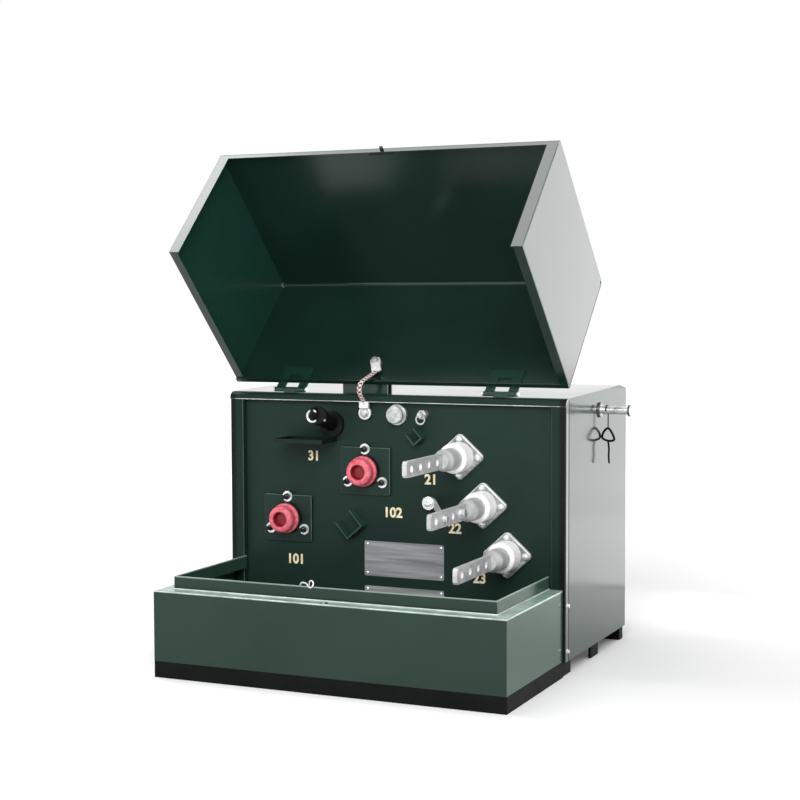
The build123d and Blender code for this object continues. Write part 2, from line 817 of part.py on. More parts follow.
neutral_bushing_x, neutral_bushing_z = lv_places["2"]
spade_side_x = neutral_bushing_x - lv_spade_thickness / 2 - strap_thickness / 2
lap_y = lv_tip_y + lv_hole_end + neutral_hole * lv_hole_spacing
neutral_points = [
    (neutral_x - boss_radius, strap_y),
    (neutral_x + boss_radius, strap_y),
    (spade_side_x, lap_y + neutral_lap / 2),
    (spade_side_x, lap_y - neutral_lap / 2),
]
neutral_line = FilletPolyline(*neutral_points, radius=strap_bend)
neutral_strap = along_z(
    trace(neutral_line, strap_thickness),
    neutral_bushing_z - neutral_width / 2,
    neutral_bushing_z + neutral_width / 2,
)
neutral_strap -= rod_x(
    lv_hole_radius,
    spade_side_x - strap_thickness, spade_side_x + strap_thickness,
    lap_y, neutral_bushing_z,
)


# Parking stands: troughs that hold a cable elbow while it is off its bushing
def parking_stand(letter):
    """Three plates on the front wall that form a tilted trough, open at its upper end and to the front."""
    x, z = stand_places[letter]
    width, length = stand_widths[letter], stand_lengths[letter]
    trough = Box(width, stand_depth, length)
    trough -= Pos(0, 0, stand_wall) * Box(width - 2 * stand_wall, 2 * stand_depth, length)
    return Pos(x, plate_y - stand_depth / 2, z) * Rot(0, -stand_tilt, 0) * trough


# Plates, bare of any words
def bare_plate(up_share, height):
    """A thin plate on the front wall with rounded corners."""
    x, z = wall_place((plate_share, up_share))
    sheet = RectangleRounded(plate_width, height, plate_corner)
    return Pos(x, 0, z) * along_y(sheet, plate_y - plate_thickness, plate_y)


# Lifting pins, one on each side of the tank
def lift_pin(side):
    """A collared pin on one side of the tank."""
    def reach(start, length):
        return sorted((side * (half_width + start), side * (half_width + start + length)))

    y = face_y + lift_setback
    pin = rod_x(lift_collar_radius, *reach(0, lift_collar_length), y, lift_height)
    pin += rod_x(lift_pin_radius, *reach(0, lift_pin_length), y, lift_height)
    pin += rod_x(lift_end_radius, *reach(lift_pin_length, lift_end_length), y, lift_height)
    return pin


nodes = {
    "tank_body": tank_body,
    "tank_cover": tank_cover,
    "front_plate": front_plate,
    "frame_top": frame_top,
    "frame_left": frame_side(-1),
    "frame_right": frame_side(1),
    "sill_front": sill_front,
    "sill_left": sill_left,
    "sill_right": sill_right,
    "base_angles": Compound(base_angles),
    "feet": Compound(feet),
    "rear_rail": rear_rail,
    "hood_top": swung(hood_top),
    "hood_front": swung(hood_front),
    "hood_left": swung(hood_side(-1)),
    "hood_right": swung(hood_side(1)),
    "hood_latch": swung(hood_latch),
    "hood_boss": swung(hood_boss),
    "hinge_leaves": Compound([swung(hinge_leaf(x)) for x in hinge_places]),
    "hinge_bases": Compound([hinge_base(x) for x in hinge_places]),
    "hinge_pins": Compound([hinge_pin(x) for x in hinge_places]),
    "hood_stop": hood_stop,
    "fuse_holder": fuse_holder(),
    "fuse_tray": fuse_tray,
    "fill_cap": fill_cap,
    "relief_valve": relief_valve(),
    "earth_bosses": Compound([boss(bond_x, bond_z), boss(neutral_x, neutral_bushing_z)]),
    "bond_strap": bond_strap,
    "neutral_strap": neutral_strap,
    "parking_stands": Compound([parking_stand(letter) for letter in stand_places]),
    "name_plate": bare_plate(name_plate_share, name_plate_height),
    "lower_plate": bare_plate(lower_plate_share, lower_plate_height),
    "lift_pins": Compound([lift_pin(side) for side in (-1, 1)]),
}
for letter, (x, z) in hv_places.items():
    nodes[f"hv_clamp_{letter}"] = hv_clamp(x, z)
    nodes[f"hv_well_{letter}"] = hv_well(x, z)
    nodes[f"hv_cap_{letter}"] = hv_cap(x, z)
for number, (x, z) in lv_places.items():
    nodes[f"lv_flange_{number}"] = lv_flange(x, z)
    nodes[f"lv_insulator_{number}"] = lv_insulator(x, z)
    nodes[f"lv_spade_{number}"] = lv_spade(x, z)

os.makedirs("parts", exist_ok=True)
for name, solid in nodes.items():
    export_step(solid, f"parts/{name}.step")
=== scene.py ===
from math import cos, pi, radians, sin, sqrt

import bmesh
import bpy
from mathutils import Matrix, Vector


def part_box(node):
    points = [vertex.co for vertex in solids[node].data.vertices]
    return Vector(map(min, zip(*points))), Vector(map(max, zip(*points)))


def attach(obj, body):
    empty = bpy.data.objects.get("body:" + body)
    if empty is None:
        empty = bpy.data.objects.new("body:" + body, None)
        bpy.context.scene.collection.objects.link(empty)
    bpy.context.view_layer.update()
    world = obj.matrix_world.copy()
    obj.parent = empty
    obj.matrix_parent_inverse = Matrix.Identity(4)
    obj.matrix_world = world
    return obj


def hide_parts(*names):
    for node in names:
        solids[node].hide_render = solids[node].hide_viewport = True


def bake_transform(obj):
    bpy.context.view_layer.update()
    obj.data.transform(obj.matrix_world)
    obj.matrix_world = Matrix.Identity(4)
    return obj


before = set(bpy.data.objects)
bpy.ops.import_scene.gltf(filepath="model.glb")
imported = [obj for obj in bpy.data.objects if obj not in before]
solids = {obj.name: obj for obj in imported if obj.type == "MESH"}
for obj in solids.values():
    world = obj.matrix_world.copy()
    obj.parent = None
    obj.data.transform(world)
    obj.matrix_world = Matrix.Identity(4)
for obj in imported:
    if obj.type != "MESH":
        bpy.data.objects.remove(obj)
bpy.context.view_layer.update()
scene = bpy.context.scene


# Tank shell: an oil-filled box of welded sheet steel with a sloping cover, a plate across its front and a
# proud frame round that plate. It is sprayed with dark green alkyd enamel and baked, so the flat faces
# keep a faint orange peel and mirror a pale floor when they are seen along their length.
MM = 0.001
PER_METRE = 1000.0


def linear(code):
    """An sRGB hex colour as linear red, green, blue and alpha."""
    shares = [int(code[i:i + 2], 16) / 255 for i in (1, 3, 5)]
    return [s / 12.92 if s <= 0.04045 else ((s + 0.055) / 1.055) ** 2.4 for s in shares] + [1.0]


def add(tree, kind, inputs=None, **settings):
    """Adds one node with its settings. An input is a value, an output, or a node for its first output."""
    node = tree.nodes.new(kind)
    for name, value in settings.items():
        setattr(node, name, value)
    for name, value in (inputs or {}).items():
        source = value.outputs[0] if isinstance(value, bpy.types.Node) else value
        if isinstance(source, bpy.types.NodeSocket):
            tree.links.new(source, node.inputs[name])
        else:
            node.inputs[name].default_value = source
    return node


def sockets(material):
    """The inputs of a finish's shader."""
    return material.node_tree.nodes["Principled BSDF"].inputs


EVEN = (1, 1, 1)


def finish(name, deep, pale, *, patch, grain, dull, shine, relief, metallic=0.0, level=0.5, stretch=EVEN):
    """A finish that drifts between two colours over patches, with a finer grain in its relief.

    The patch and the grain are sizes in millimetres, and the relief is the grain's height. Dull and shine are
    the roughness at either end of the drift. The stretch draws the pattern out along an axis where it is
    under one. A colour mix has its share at input 0, its colours at 6 and 7, and its result at output 2.
    """
    material = bpy.data.materials.new(name)
    material.use_nodes = True
    tree = material.node_tree
    shader = sockets(material)
    shader["Metallic"].default_value = metallic
    shader["Specular IOR Level"].default_value = level
    place = add(tree, "ShaderNodeTexCoord").outputs["Object"]
    drawn = add(tree, "ShaderNodeMapping", {"Vector": place, "Scale": stretch})
    clouds = add(tree, "ShaderNodeTexNoise", {"Vector": drawn, "Scale": PER_METRE / patch, "Detail": 5.0})
    drift = add(tree, "ShaderNodeMapRange", {"Value": clouds, "From Min": 0.32, "From Max": 0.68})
    tint = add(tree, "ShaderNodeMix", {0: drift, 6: linear(deep), 7: linear(pale)}, data_type="RGBA")
    tree.links.new(tint.outputs[2], shader["Base Color"])
    gloss = add(tree, "ShaderNodeMapRange", {
        "Value": clouds, "From Min": 0.25, "From Max": 0.75, "To Min": shine, "To Max": dull,
    })
    tree.links.new(gloss.outputs["Result"], shader["Roughness"])
    grit = add(tree, "ShaderNodeTexNoise", {"Vector": drawn, "Scale": PER_METRE / grain, "Detail": 3.0})
    bump = add(tree, "ShaderNodeBump", {"Height": grit, "Strength": 0.6, "Distance": relief * MM})
    tree.links.new(bump.outputs["Normal"], shader["Normal"])
    return material


def cover(material, colour, mask):
    """Lays a second colour over a finish where a mask shows it."""
    tree = material.node_tree
    base = sockets(material)["Base Color"]
    layers = {0: mask, 6: base.links[0].from_socket, 7: linear(colour)}
    over = add(tree, "ShaderNodeMix", layers, data_type="RGBA")
    tree.links.new(over.outputs[2], base)


# Size of the patches that break up the painted fold highlights, in millimetres
highlight_patch = 45.0


def paint_fold_highlights(material, highlight_colour, *, start, full, lean=0.0, towards=(0, 0, 0), least=-1.0):
    """Paints a paler colour along folds and rounded edges as a painted highlight, broken up in patches.

    A fold is where the surface turns away from the piece's own flat faces: start and full are how far along
    the nearest axis the surface still looks there. The lean is how far those faces are turned about X. Only
    folds that look at least so far towards a direction get the painted highlight.
    """
    tree = material.node_tree
    surface = add(tree, "ShaderNodeTexCoord").outputs
    upright = add(tree, "ShaderNodeVectorRotate", {"Vector": surface["Normal"], "Angle": lean},
                  rotation_type="X_AXIS")
    facing = add(tree, "ShaderNodeVectorMath", {0: upright}, operation="ABSOLUTE")
    axis = add(tree, "ShaderNodeSeparateXYZ", {"Vector": facing}).outputs
    wider = add(tree, "ShaderNodeMath", {0: axis["X"], 1: axis["Y"]}, operation="MAXIMUM")
    widest = add(tree, "ShaderNodeMath", {0: wider, 1: axis["Z"]}, operation="MAXIMUM")
    fold = add(tree, "ShaderNodeMapRange", {"Value": widest, "From Min": start, "From Max": full})
    highlight_breakup = add(tree, "ShaderNodeTexNoise", {
        "Vector": surface["Object"], "Scale": PER_METRE / highlight_patch, "Detail": 4.0,
    })
    uneven = add(tree, "ShaderNodeMapRange", {
        "Value": highlight_breakup, "From Min": 0.3, "From Max": 0.6, "To Min": 0.45, "To Max": 1.0,
    })
    fold_highlight = add(tree, "ShaderNodeMath", {0: fold, 1: uneven}, operation="MULTIPLY")
    looking = add(tree, "ShaderNodeVectorMath", {0: surface["Normal"], 1: towards}, operation="DOT_PRODUCT")
    outer = add(tree, "ShaderNodeMath", {0: looking.outputs["Value"], 1: least}, operation="GREATER_THAN")
    cover(material, highlight_colour, add(tree, "ShaderNodeMath", {0: fold_highlight, 1: outer}, operation="MULTIPLY"))


def dress(material, *names):
    """Puts a finish on pieces of the frame."""
    for name in names:
        slots = solids[name].data.materials
        slots.clear()
        slots.append(material)


# Baked alkyd enamel: deep green, glossy, with an orange peel of a few millimetres
green_enamel = finish("green_baked_enamel", "#122c25", "#16332b", patch=240, grain=5, dull=0.18, shine=0.1,
                      relief=0.03)
sockets(green_enamel)["Specular Tint"].default_value = linear("#f0faf5")
dress(green_enamel, "tank_body", "tank_cover")
# The wall inside the compartment gets a thinner coat of the same enamel, which dries duller
inner_enamel = finish("green_thin_enamel", "#152823", "#1b2f28", patch=200, grain=5, dull=0.5, shine=0.38,
                      relief=0.06, level=0.14)
dress(inner_enamel, "front_plate")
# The frame has that coat too, with painted highlights along its edges, palest along the top bar's lower inner
# edge
frame_half, dark_band_width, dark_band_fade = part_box("frame_top")[1].x, 10.5, 7.0
dark_band_start, dark_band_full = frame_half - (dark_band_width + dark_band_fade) * MM, frame_half - dark_band_width * MM
for name in ("frame_top", "frame_left", "frame_right"):
    frame_enamel = finish(f"green_{name}_enamel", "#11241f", "#152923", patch=160, grain=5, dull=0.46,
                          shine=0.34, relief=0.05, level=0.14)
    if name == "frame_top":
        paint_fold_highlights(frame_enamel, "#eef4f1", start=0.985, full=0.93, towards=(0, 0, -1), least=0.03)
    else:
        paint_fold_highlights(frame_enamel, "#6d7f78", start=0.86, full=0.75)
    # A band along the frame's outer edge is painted near black on its forward faces
    tree = frame_enamel.node_tree
    surface = add(tree, "ShaderNodeTexCoord").outputs
    spot = add(tree, "ShaderNodeSeparateXYZ", {"Vector": surface["Object"]}).outputs
    looks = add(tree, "ShaderNodeSeparateXYZ", {"Vector": surface["Normal"]}).outputs
    outward = add(tree, "ShaderNodeMath", {0: spot["X"]}, operation="ABSOLUTE")
    band = add(tree, "ShaderNodeMapRange", {
        "Value": outward, "From Min": dark_band_start, "From Max": dark_band_full, "To Max": 0.85,
    })
    forward = add(tree, "ShaderNodeMath", {0: looks["Y"], 1: -0.5}, operation="LESS_THAN")
    cover(frame_enamel, "#040807", add(tree, "ShaderNodeMath", {0: band, 1: forward}, operation="MULTIPLY"))
    # The tank's glossy coat runs over its sides
    sideways = add(tree, "ShaderNodeMath", {0: looks["X"]}, operation="ABSOLUTE")
    glossy = add(tree, "ShaderNodeMapRange", {"Value": sideways, "From Min": 0.8, "From Max": 0.95})
    sockets(frame_enamel)["Coat Roughness"].default_value = 0.14
    tree.links.new(glossy.outputs["Result"], sockets(frame_enamel)["Coat Weight"])
    dress(frame_enamel, name)


crisp_edge = radians(32)


def piece(name, form, material, body):
    """Makes a named piece of a built form and sets it on the body that carries it."""
    bmesh.ops.recalc_face_normals(form, faces=form.faces)
    mesh = bpy.data.meshes.new(name)
    form.to_mesh(mesh)
    form.free()
    mesh.materials.append(material)
    mesh.shade_smooth()
    mesh.set_sharp_from_angle(angle=crisp_edge)
    made = bpy.data.objects.new(name, mesh)
    scene.collection.objects.link(made)
    if body:
        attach(made, body)
    return made


def seat(point, outward, turn=0.0):
    """A place on a face, with its Z axis pointing out of that face."""
    turned_to = Vector(outward).to_track_quat("Z", "Y").to_matrix().to_4x4()
    return Matrix.Translation(point) @ turned_to @ Matrix.Rotation(turn, 4, "Z")


def turn_form(form, profile, place, sides=28):
    """Adds a turned form to a mesh: its profile is radius and reach out of the place, in millimetres."""
    rings = []
    for radius, reach in profile:
        steps = sides if radius else 1
        angles = [2 * pi * i / steps for i in range(steps)]
        rings.append([
            form.verts.new(place @ Vector((radius * MM * cos(a), radius * MM * sin(a), reach * MM)))
            for a in angles
        ])
    for low, high in zip(rings, rings[1:]):
        count = max(len(low), len(high))
        for i in range(count):
            j = (i + 1) % count
            corners = [low[i % len(low)], low[j % len(low)], high[j % len(high)], high[i % len(high)]]
            form.faces.new(dict.fromkeys(corners))


def disc_form(form, place, radius, sheet, edge):
    """Adds a round disc with a broken edge."""
    profile = [(0, 0), (radius, 0), (radius, sheet - edge), (radius - edge, sheet), (0, sheet)]
    turn_form(form, profile, place)


washer_sheet, washer_edge, bevel_share = 2.0, 0.5, 0.13


def hexagon_form(form, place, across, height):
    """Adds a chamfered hexagon that lies on a washer, as a nut or a bolt's head."""
    corner, top = across / sqrt(3), washer_sheet + height
    bevel = bevel_share * corner
    profile = [
        (0, washer_sheet), (corner, washer_sheet), (corner, top - bevel / 2), (corner - bevel, top), (0, top),
    ]
    turn_form(form, profile, place, 6)


def bolt_form(form, place, sizes):
    """Adds a washer with a bolt's head on it. The sizes are the washer's radius, the flats and the head."""
    washer, across, head = sizes
    disc_form(form, place, washer, washer_sheet, washer_edge)
    hexagon_form(form, place, across, head)


# Side bolts: two small hexagon bolts with washers hold the frame to each side of the tank.
# Zinc plate on turned steel: bright, slightly blue, with fine turning marks
bright_zinc = finish("bright_zinc_plate", "#c9cdcf", "#eceeef", patch=14, grain=1.5, dull=0.36, shine=0.22,
                     relief=0.04, metallic=0.75)
side_bolt_sizes, side_bolt_heights = (5.0, 8.0, 4.0), (55.0, 153.0)
side_bolts = bmesh.new()
for name, side in (("frame_left", -1), ("frame_right", 1)):
    low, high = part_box(name)
    face_x = high.x if side > 0 else low.x
    for height in side_bolt_heights:
        foot = Vector((face_x, (low.y + high.y) / 2, height * MM))
        bolt_form(side_bolts, seat(foot, (side, 0, 0)), side_bolt_sizes)
piece("side_bolts", side_bolts, bright_zinc, "tank")


# Sill and base: a low box folded from sheet with a ledge and an upstanding lip, welded to the tank's front.
# It shares the tank's enamel, dulled by a thin film of dust. The angle below it, the feet and the rear rail
# are black enamelled steel that stands on the ground, duller and a little dusty.
sill_enamel = finish("green_sill_enamel", "#11271f", "#162d25", patch=220, grain=5, dull=0.24, shine=0.14,
                     relief=0.04, level=0.36)
film = sockets(sill_enamel)
film["Specular Tint"].default_value = linear("#ebf6f0")
film["Sheen Weight"].default_value = 0.27
film["Sheen Tint"].default_value = linear("#8fc4aa")
# Painted highlights along the sill's folds that look forward and up
paint_fold_highlights(sill_enamel, "#c3d2cb", start=0.97, full=0.82, towards=(0, -0.7, 0.7), least=0.1)
# What looks up, the ledge above all, is painted paler in drifting patches: painted light from above, in
# patches like dust
top_light_patch = 35.0
tree = sill_enamel.node_tree
surface = add(tree, "ShaderNodeTexCoord").outputs
looks = add(tree, "ShaderNodeSeparateXYZ", {"Vector": surface["Normal"]}).outputs
lying_flat = add(tree, "ShaderNodeMapRange", {"Value": looks["Z"], "From Min": 0.85, "From Max": 0.98})
drifts = add(tree, "ShaderNodeTexNoise", {
    "Vector": surface["Object"], "Scale": PER_METRE / top_light_patch, "Detail": 6.0,
})
top_light_drift = add(tree, "ShaderNodeMapRange", {
    "Value": drifts, "From Min": 0.3, "From Max": 0.7, "To Min": 0.5, "To Max": 1.0,
})
cover(sill_enamel, "#9aaba4", add(tree, "ShaderNodeMath", {0: lying_flat, 1: top_light_drift}, operation="MULTIPLY"))
# The lip's upper edge is painted paler: a painted highlight along it
lip_top, edge_start, edge_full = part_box("sill_front")[1].z, 3.0, 1.0
spot = add(tree, "ShaderNodeSeparateXYZ", {"Vector": surface["Object"]}).outputs
lip_edge_highlight = add(tree, "ShaderNodeMapRange", {
    "Value": spot["Z"], "From Min": lip_top - edge_start * MM, "From Max": lip_top - edge_full * MM,
    "To Max": 0.6,
})
cover(sill_enamel, "#a8b8b1", lip_edge_highlight)
dress(sill_enamel, "sill_front", "sill_left", "sill_right")
# Black alkyd over hot-rolled steel: nearly matt, with rolling marks of a few millimetres
black_enamel = finish("black_base_enamel", "#050606", "#0d0e0f", patch=60, grain=4, dull=0.66, shine=0.52,
                      relief=0.12, level=0.1)
dress(black_enamel, "base_angles", "feet", "rear_rail")


def sweep(form, line, radius, sides=10, closed=False):
    """Adds a round bar along a line of points. The radius is in millimetres, the points are in metres."""
    count = len(line)
    side = None
    rings = []
    for i, point in enumerate(line):
        before = line[i - 1] if closed or i else point
        after = line[(i + 1) % count] if closed or i < count - 1 else point
        ahead = (after - before).normalized()
        side = side or ahead.orthogonal()
        side = (side - ahead * side.dot(ahead)).normalized()
        other = ahead.cross(side)
        angles = [2 * pi * j / sides for j in range(sides)]
        rings.append([form.verts.new(point + (side * cos(a) + other * sin(a)) * radius * MM) for a in angles])
    for low, high in zip(rings, rings[1:] + rings[:1] if closed else rings[1:]):
        for j in range(sides):
            k = (j + 1) % sides
            form.faces.new([low[j], low[k], high[k], high[j]])
    if not closed:
        form.faces.new(rings[0])
        form.faces.new(rings[-1])


def bend_through(points, steps=6, closed=False):
    """A smooth line through points that are given in millimetres."""
    knots = [Vector(point) * MM for point in points]
    count = len(knots)
    line = []
    for i in range(count if closed else count - 1):
        places = [(i + k) % count if closed else min(max(i + k, 0), count - 1) for k in (-1, 0, 1, 2)]
        a, b, c, d = (knots[place] for place in places)
        for step in range(steps):
            t = step / steps
            line.append((2 * b + (c - a) * t + (2 * a - 5 * b + 4 * c - d) * t ** 2
                         + (3 * b - a - 3 * c + d) * t ** 3) / 2)
    if not closed:
        line.append(knots[-1])
    return line


# Sill joints: a round black cord lies in the joint between each sill side and the tank: painted shade of that
# gap.
# Black, matt, faintly ribbed
joint_shade_finish = finish("black_joint_shade", "#050506", "#0d0e0e", patch=12, grain=2, dull=0.8, shine=0.65,
                      relief=0.1, level=0.1)
ledge_width, ledge_height = 32.0, 187.0
joint_cord_radius, joint_cord_inset = 2.6, 0.5
joint_shade_cords = bmesh.new()
for name, side in (("sill_left", -1), ("sill_right", 1)):
    low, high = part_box(name)
    stand_off = (joint_cord_radius - joint_cord_inset) * MM
    joint_cord_x, joint_cord_y = side * (max(abs(low.x), abs(high.x)) + stand_off), high.y - stand_off
    sweep(joint_shade_cords, [Vector((joint_cord_x, joint_cord_y, z)) for z in (low.z, ledge_height * MM)], joint_cord_radius)
piece("sill_joint_shade", joint_shade_cords, joint_shade_finish, "tank")


# Lip foot: a thin pale bead runs along the lip's foot, on the ledge: a painted highlight along that fold.
# Off-white, matt, greyer in patches
pale_lip_highlight = finish("pale_lip_highlight", "#b9c6c0", "#e8eeeb", patch=30, grain=3, dull=0.6, shine=0.45,
                       relief=0.1, level=0.3)
bead_radius, bead_steps, bead_sides = 1.5, 40, 8
front_low, front_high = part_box("sill_front")
bead_inset = (ledge_width - bead_radius / 2) * MM
bead_x, bead_front, bead_rear = front_high.x - bead_inset, front_low.y + bead_inset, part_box("sill_left")[1].y
bead_z = (ledge_height + bead_radius / 2) * MM
bead_ends = [(-bead_x, bead_rear), (-bead_x, bead_front), (bead_x, bead_front), (bead_x, bead_rear)]
corners = [Vector((x, y, bead_z)) for x, y in bead_ends]
lip_highlight_bead = bmesh.new()
for near, far in zip(corners, corners[1:]):
    run = [near.lerp(far, step / bead_steps) for step in range(bead_steps + 1)]
    sweep(lip_highlight_bead, run, bead_radius, bead_sides)
piece("lip_foot_highlight", lip_highlight_bead, pale_lip_highlight, "tank")


# Lip clip: a bent zinc wire straddles the lip, with an eye for a seal.
# Its route is in millimetres, up the lip's back, over its edge, round the eye and down again.
clip_radius = 1.7
clip_route = [
    (-68, -362.8, 203), (-68, -363, 214), (-64, -365.5, 220.5), (-57, -366.5, 222), (-50, -367.5, 219.5),
    (-45, -369.5, 214.5), (-40, -370.2, 213), (-36, -369.5, 216), (-35, -367, 222), (-39, -365, 226.5),
    (-45, -363.4, 225), (-47, -362.8, 216), (-47, -362.8, 204),
]
clip = bmesh.new()
sweep(clip, bend_through(clip_route), clip_radius)
piece("lip_clip", clip, bright_zinc, "tank")


# Hood: one sheet folded over the top and the front, with flanged side panels welded between its edges.
# It is enamelled with the tank, hangs on two welded hinges with zinc-plated pins, and stands open here,
# where its panels lean by half a right angle.
# Baked alkyd enamel on smooth sheet: a shade deeper than the tank's, with the same orange peel
open_lean = radians(45)
for name, inward in (("hood_top", None), ("hood_front", None), ("hood_left", 1), ("hood_right", -1)):
    hood_enamel = finish(f"green_{name}_enamel", "#0f231d", "#132a22", patch=240, grain=5, dull=0.24,
                         shine=0.14, relief=0.03)
    tree = hood_enamel.node_tree
    if inward:
        # The side panels' inner faces are painted a paler green: painted light falling into the open hood
        looks = add(tree, "ShaderNodeTexCoord").outputs["Normal"]
        across = add(tree, "ShaderNodeSeparateXYZ", {"Vector": looks}).outputs["X"]
        inside_painted_light = add(tree, "ShaderNodeMapRange", {
            "Value": across, "From Min": 0.9 * inward, "From Max": inward,
        })
        cover(hood_enamel, "#1b3f34", inside_painted_light)
    if name == "hood_top":
        # Its outside lies flat in the sun while the hood is shut, and has chalked to a dull skin
        looks = add(tree, "ShaderNodeTexCoord").outputs["Normal"]
        outside = (0, sin(open_lean), -cos(open_lean))
        facing = add(tree, "ShaderNodeVectorMath", {0: looks, 1: outside}, operation="DOT_PRODUCT")
        chalked = add(tree, "ShaderNodeMapRange", {
            "Value": facing.outputs["Value"], "From Min": 0.8, "From Max": 0.95,
        })
        gloss = sockets(hood_enamel)["Roughness"]
        skin = add(tree, "ShaderNodeMapRange", {
            "Value": chalked, "To Min": gloss.links[0].from_socket, "To Max": 0.62,
        })
        tree.links.new(skin.outputs["Result"], gloss)
    # Painted highlights along the hood's outer folds
    paint_fold_highlights(hood_enamel, "#a3b4ad", start=0.92, full=0.78, lean=open_lean, towards=(0, 1, 0), least=-0.56)
    dress(hood_enamel, name)
dress(green_enamel, "hinge_bases", "hinge_leaves", "hood_stop")
dress(bright_zinc, "hinge_pins")
# Black oxide on turned steel: dark and dry
black_oxide = finish("black_oxide_steel", "#0b0b0c", "#1a1b1c", patch=8, grain=1.2, dull=0.6, shine=0.45,
                     relief=0.1, metallic=0.4)
dress(black_oxide, "hood_latch")


# High-voltage wells: a steel clamp plate on three studs holds a moulded epoxy well against the front wall.
# A soft red vinyl cap keeps dust out of each well until a cable elbow is pushed on.
# Thin enamel on sheared plate: dark green and satin, with a painted highlight along its edges
clamp_enamel = finish("clamp_dark_enamel", "#122621", "#182f28", patch=80, grain=4, dull=0.42, shine=0.3,
                      relief=0.08, level=0.2)
paint_fold_highlights(clamp_enamel, "#4d615a", start=0.95, full=0.8)
dress(clamp_enamel, "hv_clamp_a", "hv_clamp_b")
# Filled epoxy, cast in a polished mould: black with a soft gloss
black_epoxy = finish("black_cast_epoxy", "#0a0a0b", "#151617", patch=30, grain=2, dull=0.42, shine=0.3,
                     relief=0.04)
dress(black_epoxy, "hv_well_a", "hv_well_b")
# Dipped vinyl: waxy red, bloomed to pink outside, with painted shade darkening the recess
red_vinyl = finish("red_dipped_vinyl", "#cb4656", "#e57a87", patch=9, grain=2.5, dull=0.5, shine=0.36,
                   relief=0.08)
cap_low, cap_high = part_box("hv_cap_a")
recess_radius = 17.5
recess_share = recess_radius * MM / (cap_high.x - cap_low.x)
tree = red_vinyl.node_tree
box_share = add(tree, "ShaderNodeTexCoord").outputs["Generated"]
centred = add(tree, "ShaderNodeVectorMath", {0: box_share, 1: (-0.5, 0, -0.5)}, operation="ADD")
flat = add(tree, "ShaderNodeVectorMath", {0: centred, 1: (1, 0, 1)}, operation="MULTIPLY")
away = add(tree, "ShaderNodeVectorMath", {0: flat}, operation="LENGTH").outputs["Value"]
recess_painted_shade = add(tree, "ShaderNodeMapRange", {
    "Value": away, "From Min": 1.06 * recess_share, "From Max": 0.94 * recess_share,
})
cover(red_vinyl, "#7a0c1b", recess_painted_shade)
dress(red_vinyl, "hv_cap_a", "hv_cap_b")
FRONT = (0, -1, 0)
stud_circle, stud_angles, stud_radius, stud_end, stud_sides = 49.0, (90, 210, 330), 4.8, 24.0, 20
thread_pitch, thread_root, thread_crest, stud_point = 1.75, 0.5, 0.15, 0.6
nut_washer, nut_across, nut_height = 12.4, 13.0, 5.0
clamp_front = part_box("hv_well_a")[1].y
for letter in "ab":
    low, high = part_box(f"hv_well_{letter}")
    middle = (low + high) / 2
    washers, studs = bmesh.new(), bmesh.new()
    for angle in stud_angles:
        across = Vector((cos(radians(angle)), 0, sin(radians(angle)))) * stud_circle * MM
        place = seat(Vector((middle.x, clamp_front, middle.z)) + across, FRONT, radians(angle))
        disc_form(washers, place, nut_washer, washer_sheet, washer_edge)
        hexagon_form(studs, place, nut_across, nut_height)
        reach = washer_sheet + nut_height
        thread = [(0, reach)]
        while reach < stud_end - thread_pitch:
            thread.append((stud_radius - thread_root, reach))
            thread.append((stud_radius + thread_crest, reach + thread_pitch / 2))
            reach += thread_pitch
        thread += [(stud_radius - stud_point, stud_end), (0, stud_end)]
        turn_form(studs, thread, place, stud_sides)
    piece(f"hv_washers_{letter}", washers, bright_zinc, "tank")
    piece(f"hv_nuts_{letter}", studs, black_oxide, "tank")


# Low-voltage bushings: a cast aluminium flange bolted to the wall, a moulded white insulator and a tinned
# copper stud whose blade has four holes for cable lugs.
BUSHINGS = (1, 2, 3)
# Sand-cast aluminium: pale grey with a sandy skin of about a millimetre, with a painted highlight along its
# upper edges
cast_aluminium = finish("sand_cast_aluminium", "#6b6e6f", "#adafb0", patch=8, grain=1.6, dull=0.62,
                        shine=0.46, relief=0.3, metallic=0.35)
paint_fold_highlights(cast_aluminium, "#fafafa", start=0.95, full=0.8, towards=(0, 0, 1), least=0.1)
dress(cast_aluminium, *[f"lv_flange_{n}" for n in BUSHINGS])
# Cycloaliphatic epoxy: warm white, moulded, with a soft gloss
white_epoxy = finish("white_moulded_epoxy", "#f3f2f1", "#fbfbfa", patch=25, grain=2, dull=0.4, shine=0.28,
                     relief=0.03)
sockets(white_epoxy)["Sheen Weight"].default_value = 1.0
dress(white_epoxy, *[f"lv_insulator_{n}" for n in BUSHINGS])
